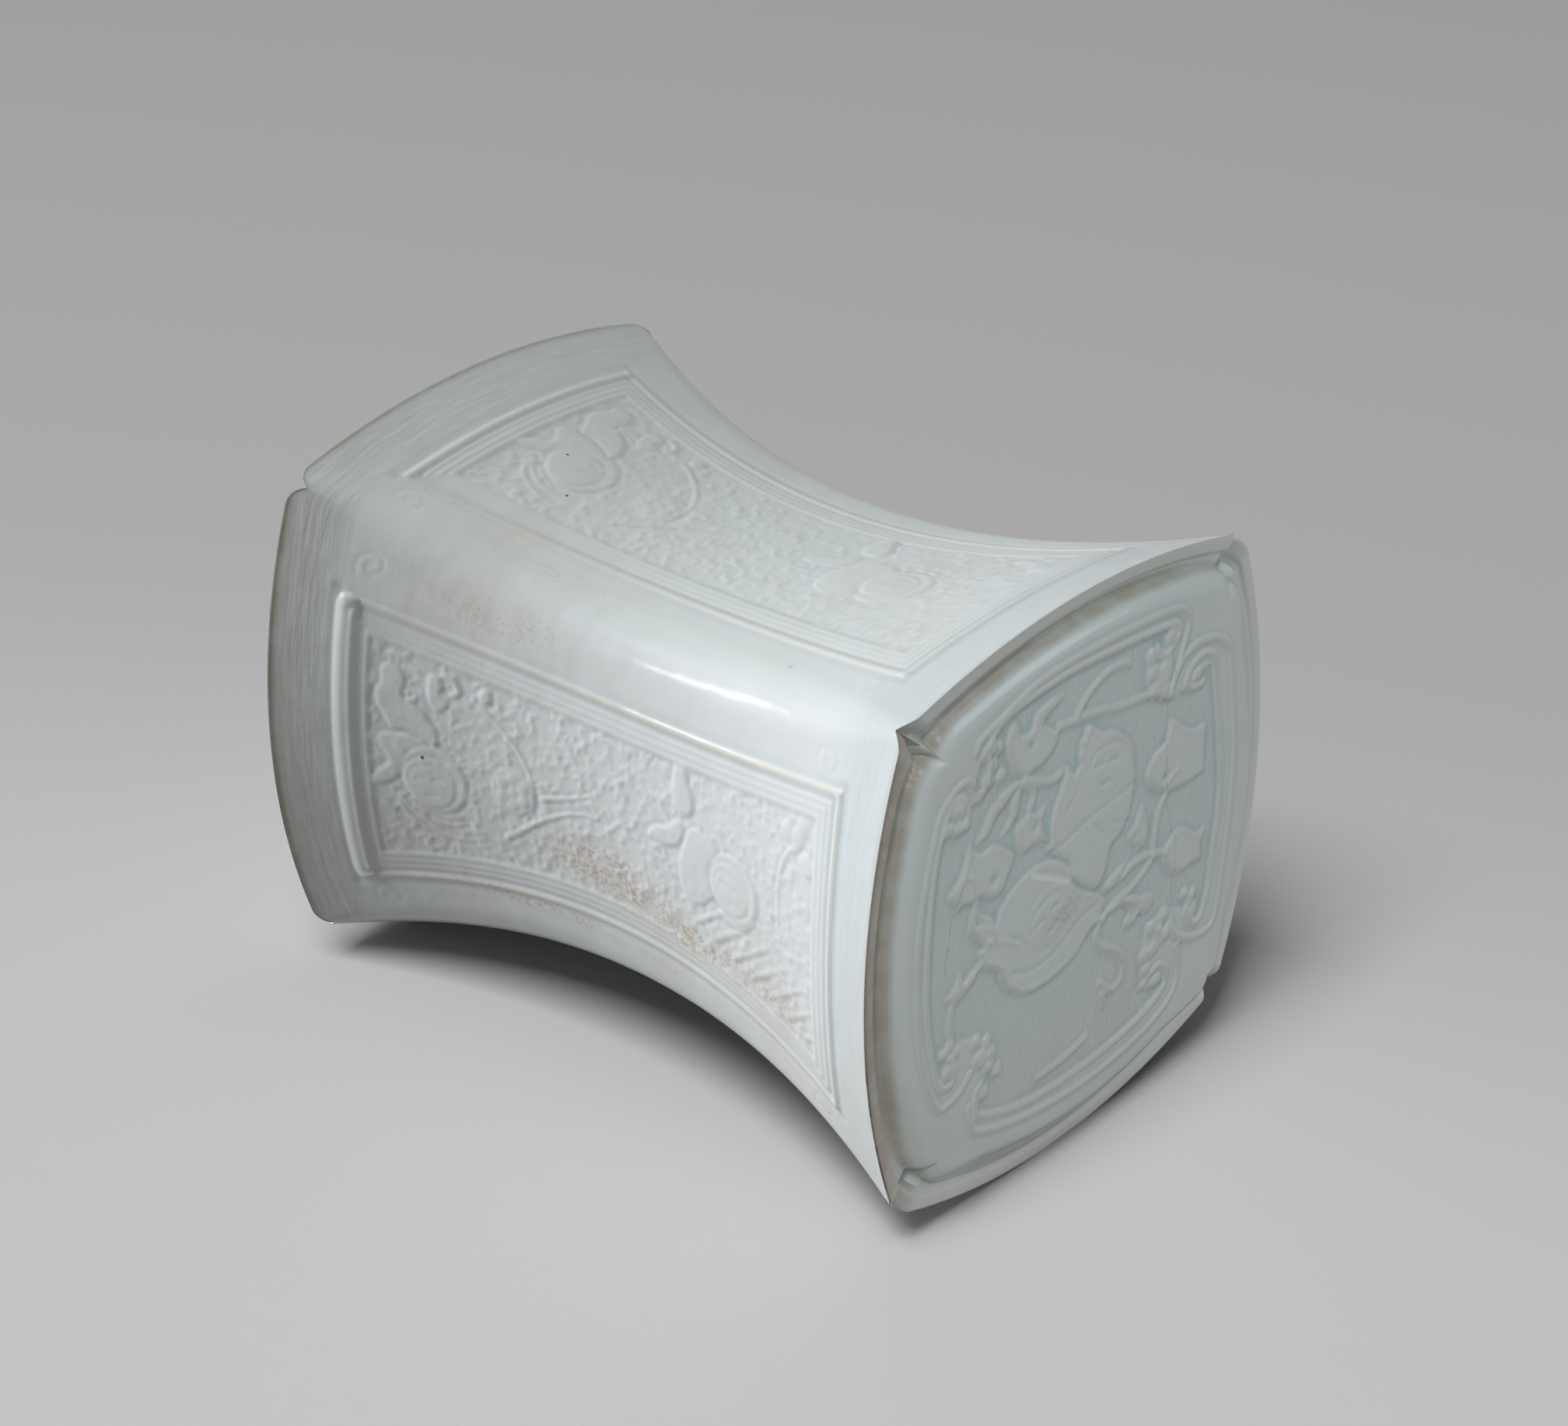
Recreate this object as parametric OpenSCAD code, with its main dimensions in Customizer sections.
// Waisted porcelain pillow, built from four moulded side slabs and two moulded end plates.
// Lengths are in millimetres. X runs along the pillow, Z is up, and the pillow stands on z = 0.

/* [Body] */
// Length from rim to rim
length = 176; // [150:1:200]
// Distance between neighbouring ridges at the waist
ridge_waist = 88; // [80:0.5:94]
// Distance between neighbouring ridges at the rims
ridge_rim = 116.6; // [108:0.2:124]
// Radius of the crosswise bulge of the front, back and bottom
side_bulge = 172; // [150:1:220]
// Radius of the crosswise bulge of the top, which is a little flatter
top_bulge = 225; // [160:1:300]
// Thickness of a side slab
wall = 6.5; // [5.5:0.1:8]
// Thickness of the slip that lutes a plate or a coil to its neighbours
slip = 0.2; // [0.1:0.05:0.4]

/* [Ridges and feet] */
// Radius of the rounded ridge where two sides meet
ridge_radius = 14; // [12:0.5:18]
// How much of the sharp ridge is rounded away at the waist
ridge_soft_waist = 2; // [1.5:0.1:2.1]
// How much of the sharp ridge is rounded away at the rims
ridge_soft_rim = 0.4; // [0.3:0.1:1]
// How far in from a rim's corner the rim starts to fall away
corner_clip = 3; // [2:0.1:4]
// How far the rim falls along the length at the corner
corner_drop = 7.5; // [5:0.5:10]
// Depth of the flat ground on the lowest point of each bottom rim
foot_flat = 0.6; // [0.3:0.1:1]

/* [Ends] */
// Width of the rim outside the cove
rim_width = 2; // [1.6:0.1:3]
// Width of the cove between the rim and the end pad
cove_width = 6; // [5:0.1:7]
// Depth of the cove below the rim
cove_depth = 2.2; // [1.6:0.1:2.5]
// Thickness of an end plate behind its rim and behind its pad
plate_thickness = 8; // [7:0.5:10]
// How far the pad stands out past the rim
pad_rise = 4.2; // [3:0.1:6]
// Radius of the pad's rounded edge
pad_round = 4; // [3:0.5:5]
// How much of the pad's corner is rounded off, measured along the diagonal
pad_corner = 4.5; // [3:0.5:7]
// Distance from the rim to the outer bracket line on the pad
bracket_inset = 14.5; // [14.5:0.5:18]
// Width of each bracket line
bracket_width = 1.6; // [1.2:0.1:2]
// Distance from one bracket line to the next
bracket_pitch = 2.6; // [2.4:0.1:3.4]
// Number of bracket lines
bracket_lines = 3; // [1:1:3]
// Height of the bracket lines above the pad
bracket_height = 0.8; // [0.4:0.1:1.2]
// Half the length of a bracket, to the middle of its curls
bracket_reach = 31; // [26:0.5:33]
// Diameter of the round curl that ends each bracket
curl_size = 7; // [6:0.5:9]

/* [Panel frames] */
// Distance from the ridges and rims to the panel frame
frame_margin = 16; // [13:0.5:20]
// Outward bow of the frame's short sides
frame_bow = 2.8; // [1.5:0.1:4]
// Number of raised lines in the frame
frame_lines = 3; // [1:1:3]
// Width of each frame line
line_width = 1.1; // [0.8:0.1:1.5]
// Distance from one frame line to the next
line_pitch = 2.8; // [2.2:0.1:3.2]
// Height of the frame lines
line_height = 0.7; // [0.4:0.1:1]

/* [Inside] */
// Diameter of the rolled clay coils pressed into the inner seams
coil_size = 10; // [8:0.5:12]
// Diameter of the firing vent in the left end plate
vent_size = 4; // [3:0.5:6]

/* [Hidden] */
$fn = 240;
glaze = "#d3dddd";
end_glaze = "#c3d0d0";
raw_clay = "#e6e1d6";
half_length = length / 2;
waist_corner = ridge_waist / 2;
rim_corner = ridge_rim / 2;
corner_tip = sqrt(2) * rim_corner;
// Room that cutting solids leave around the pillow
room = 2 * corner_tip;
// Half the angle of a swept solid that has to outreach the pillow
half_sweep = 40;
// The bulge of each side in turn: top, back, bottom, front
bulges = [top_bulge, side_bulge, side_bulge, side_bulge];

// Radius of the arc that rises by a given height over a half chord
function arc_radius(half_chord, rise) = (half_chord ^ 2 + rise ^ 2) / (2 * rise);
// How far an arc of a given radius falls away over a half chord
function fall(radius, half_chord) = radius - sqrt(radius ^ 2 - half_chord ^ 2);
// Distance from the axis to the middle of a side at the waist
function waist_half(bulge) = waist_corner + fall(bulge, waist_corner);
// Radius of the long hollow of a side, so that its ridges keep the waist and rim sizes
function long_radius(bulge) =
    let (step = waist_half(bulge) - rim_corner, drop = fall(bulge, rim_corner))
    (step ^ 2 + half_length ^ 2 - drop ^ 2) / (2 * (drop - step));
// Distance from the axis to a side at station x and crosswise place y, a given depth below its skin
function face_at(bulge, x, y, depth) =
    let (radial = long_radius(bulge) + bulge - sqrt((bulge - depth) ^ 2 - y ^ 2))
    waist_half(bulge) + long_radius(bulge) - sqrt(radial ^ 2 - x ^ 2);
// Radius of the arc that a side makes across the pillow at station x
function arc_at(bulge, x, depth) = (bulge - depth) * sqrt(1 - (x / (long_radius(bulge) + depth)) ^ 2);
// Half the distance between neighbouring ridges at station x, found by repeated averaging
function corner_at(x, depth, k = waist_corner, steps = 40) =
    steps == 0 ? k : corner_at(x, depth, (k + face_at(side_bulge, x, k, depth)) / 2, steps - 1);
// Distance from the axis to the middle of a rim
function end_half(bulge) = face_at(bulge, half_length, 0, 0);
// Radius of the arc that a rim makes across the pillow
function rim_arc(bulge) = arc_at(bulge, half_length, 0);
// Distance from the axis to the corner where two rims, moved in by an inset, would meet
function rim_tip(bulge, inset) =
    let (middle = end_half(bulge) - rim_arc(bulge), radius = rim_arc(bulge) - inset)
    (middle + sqrt(2 * radius ^ 2 - middle ^ 2)) / sqrt(2);

axis_z = end_half(side_bulge) - foot_flat;
// The pad stays on its plate, clear of the slabs
pad_inset = max(rim_width + cove_width, wall + 2 * slip + cove_depth / 2);
plate_face = half_length - cove_depth;
plate_back = plate_face - plate_thickness;
pad_base = plate_face - slip;
pad_top = half_length + pad_rise;
pad_half = end_half(side_bulge) - pad_inset;
pad_tip = rim_tip(side_bulge, pad_inset);
coil_radius = coil_size / 2;

// Solid under the face of the top side, from a given depth below its skin
module under_face(bulge, depth) {
    ring = long_radius(bulge);
    translate([0, 0, waist_half(bulge) + ring])
        rotate([90, 90, 0])
            rotate_extrude(angle = 2 * half_sweep, start = -half_sweep)
                translate([ring + bulge, 0])
                    difference() {
                        circle(r = bulge - depth);
                        translate([0, -2 * bulge])
                            square(4 * bulge);
                    }
}

// Wedge of space that belongs to the top side, between the two mitre planes
module top_wedge() {
    rotate([90, 0, 90])
        linear_extrude(height = length + room, center = true)
            polygon([[0, 0], [room, room], [-room, room]]);
}

// Turns the top side into one of the four sides, in the order of the bulges
module on_side(side) {
    rotate([-90 * side, 0, 0])
        children();
}

// Keeps what lies inside the rounded ridge between the top side and the back side
module ridge_rounder() {
    waist_tip = sqrt(2) * waist_corner - ridge_soft_waist;
    path_radius = arc_radius(half_length, corner_tip - ridge_soft_rim - waist_tip);
    lean = 45 - asin(waist_corner / side_bulge);
    shoulder = ridge_radius * (1 - cos(lean));
    rotate([-45, 0, 0])
        translate([0, 0, waist_tip + path_radius])
            rotate([90, 90, 0])
                rotate_extrude(angle = 2 * half_sweep, start = -half_sweep) {
                    translate([path_radius + ridge_radius, 0])
                        circle(r = ridge_radius);
                    translate([path_radius + shoulder, -room])
                        square([room, room * 2]);
                }
}

// Round body that clips the rims' corners
module corner_clipper() {
    start = corner_tip - corner_clip;
    stop = corner_tip + corner_clip;
    stop_x = half_length - 2 * corner_drop;
    rotate([0, 90, 0])
        rotate_extrude()
            polygon([
                [0, -half_length], [start, -half_length], [stop, -stop_x],
                [stop, stop_x], [start, half_length], [0, half_length]
            ]);
}

// Turns a profile about the centre of the arc that a face makes across the right end
module along_arc(top, arc, half_angle) {
    translate([0, 0, top - arc])
        rotate([0, 90, 0])
            rotate_extrude(angle = 2 * half_angle, start = 180 - half_angle)
                translate([arc, 0])
                    children();
}

// Hollow that runs between the top rim and the pad of the right end
module cove(bulge) {
    cove_radius = arc_radius(cove_width / 2, cove_depth);
    along_arc(end_half(bulge), rim_arc(bulge), half_sweep)
        translate([-rim_width - cove_width / 2, half_length - cove_depth + cove_radius])
            circle(r = cove_radius);
}

// Outline of a panel frame line, seen square on, moved in from the frame's outer edge
module frame_outline(inset) {
    frame_end = half_length - frame_margin;
    waist_width = waist_corner - frame_margin;
    end_width = corner_at(frame_end, 0) - frame_margin;
    side_radius = arc_radius(frame_end, end_width - waist_width);
    end_radius = arc_radius(end_width, frame_bow);
    difference() {
        intersection_for(turn = [0, 180])
            rotate(turn)
                translate([frame_end - end_radius, 0])
                    circle(r = end_radius - inset);
        for (turn = [0, 180])
            rotate(turn)
                translate([0, waist_width + side_radius])
                    circle(r = side_radius + inset);
    }
}

// Raised lines of the panel frame on the top side
module panel_frame(bulge) {
    intersection() {
        difference() {
            under_face(bulge, -line_height);
            under_face(bulge, wall / 2);
        }
        linear_extrude(height = room)
            for (i = [0:frame_lines - 1])
                difference() {
                    frame_outline(i * line_pitch);
                    frame_outline(i * line_pitch + line_width);
                }
    }
}

// One side slab, turned to its place
module side_slab(side) {
    bulge = bulges[side];
    on_side(side) {
        intersection() {
            difference() {
                under_face(bulge, 0);
                under_face(bulge, wall);
                cove(bulge);
                mirror([1, 0, 0])
                    cove(bulge);
            }
            top_wedge();
            ridge_rounder();
            mirror([0, 1, 0])
                ridge_rounder();
            corner_clipper();
        }
        panel_frame(bulge);
    }
}

// Round block about the X axis, from the plate out to the top of the pad, where its edge is rounded
module round_block(radius) {
    shoulder = pad_top - pad_round;
    rotate([0, 90, 0])
        rotate_extrude() {
            translate([0, pad_base])
                square([radius - pad_round, pad_top - pad_base]);
            translate([0, pad_base])
                square([radius, shoulder - pad_base]);
            translate([radius - pad_round, shoulder])
                circle(r = pad_round);
        }
}

// Raised cushion in the middle of the right end
module pad() {
    intersection() {
        intersection_for(side = [0:3])
            on_side(side)
                translate([0, 0, end_half(bulges[side]) - rim_arc(bulges[side])])
                    round_block(rim_arc(bulges[side]) - pad_inset);
        round_block(pad_tip - pad_corner);
    }
}

// Raised bracket of parallel lines with a curl at each end, along the top edge of the right end's pad
module bracket(bulge) {
    arc = rim_arc(bulge);
    outer = arc - bracket_inset;
    half_angle = asin(bracket_reach / outer);
    height = pad_rise + bracket_height;
    // A curl stands out a little past the line that it ends
    curl_middle = outer - curl_size / 2 + bracket_width / 4;
    along_arc(end_half(bulge), arc, half_angle)
        for (i = [0:bracket_lines - 1])
            translate([-bracket_inset - bracket_width - i * bracket_pitch, half_length])
                square([bracket_width, height]);
    for (turn = [-half_angle, half_angle])
        translate([half_length, 0, end_half(bulge) - arc])
            rotate([-turn, 0, 0])
                translate([0, 0, curl_middle])
                    rotate([0, 90, 0])
                        difference() {
                            cylinder(d = curl_size, h = height);
                            cylinder(d = curl_size - 2 * bracket_width, h = height);
                        }
}

// End plate that fills the right end inside the slabs, with its pad pressed out from behind
module end_plate() {
    difference() {
        intersection() {
            translate([plate_back, -room, -room])
                cube([plate_thickness, 2 * room, 2 * room]);
            intersection_for(side = [0:3])
                on_side(side)
                    under_face(bulges[side], wall + slip);
        }
        press_hollow();
    }
    difference() {
        pad();
        press_hollow();
    }
    for (side = [0:3])
        on_side(side)
            bracket(bulges[side]);
}

// Hollow behind the pad that keeps the plate about even in thickness
module press_hollow() {
    translate([pad_top - plate_thickness - length, 0, 0])
        rotate([0, 90, 0])
            cylinder(r = pad_half - plate_thickness, h = length);
}

// Rolled coil pressed into the inner seam between one side and the next, in the order of the bulges
module long_coil(side) {
    depth = wall + slip;
    coil_end = plate_back - coil_size - slip;
    waist_tip = sqrt(2) * corner_at(0, depth);
    path_radius = arc_radius(coil_end, sqrt(2) * corner_at(coil_end, depth) - waist_tip);
    on_side(side)
        intersection() {
            rotate([-45, 0, 0])
                translate([0, 0, waist_tip + path_radius])
                    rotate([90, 90, 0])
                        rotate_extrude(angle = 2 * half_sweep, start = -half_sweep)
                            translate([path_radius + coil_radius / 2, 0])
                                circle(r = coil_radius);
            under_face(bulges[side], depth);
            on_side(1)
                under_face(bulges[(side + 1) % 4], depth);
            translate([-coil_end, 0, 0])
                cube([2 * coil_end, room, room]);
        }
}

// Rolled coil pressed into the seam behind an end plate, drawn at the right end
module end_coil() {
    depth = wall + slip;
    face = plate_back - slip;
    x = face - coil_radius / 2;
    intersection() {
        for (side = [0:3])
            on_side(side)
                intersection() {
                    along_arc(face_at(bulges[side], x, 0, depth), arc_at(bulges[side], x, depth), half_sweep)
                        translate([-coil_radius / 2, x])
                            circle(r = coil_radius);
                    under_face(bulges[side], depth);
                    top_wedge();
                }
        translate([face - coil_size, -room, -room])
            cube([coil_size, 2 * room, 2 * room]);
    }
}

// Lifts the pillow from its axis onto its feet
module stand() {
    translate([0, 0, axis_z])
        children();
}

module top_slab() {
    color(glaze)
        stand()
            side_slab(0);
}

module bottom_slab() {
    color(glaze)
        intersection() {
            stand()
                side_slab(2);
            translate([-room, -room, 0])
                cube(2 * room);
        }
}

module front_slab() {
    color(glaze)
        stand()
            side_slab(3);
}

module back_slab() {
    color(glaze)
        stand()
            side_slab(1);
}

module left_end_plate() {
    color(end_glaze)
        stand()
            difference() {
                mirror([1, 0, 0])
                    end_plate();
                rotate([0, -90, 0])
                    cylinder(d = vent_size, h = length);
            }
}

module right_end_plate() {
    color(end_glaze)
        stand()
            end_plate();
}

module top_front_coil() {
    color(raw_clay)
        stand()
            long_coil(3);
}

module top_back_coil() {
    color(raw_clay)
        stand()
            long_coil(0);
}

module bottom_front_coil() {
    color(raw_clay)
        stand()
            long_coil(2);
}

module bottom_back_coil() {
    color(raw_clay)
        stand()
            long_coil(1);
}

module left_end_coil() {
    color(raw_clay)
        stand()
            mirror([1, 0, 0])
                end_coil();
}

top_slab();
bottom_slab();
front_slab();
back_slab();
left_end_plate();
right_end_plate();
top_front_coil();
top_back_coil();
bottom_front_coil();
bottom_back_coil();
left_end_coil();
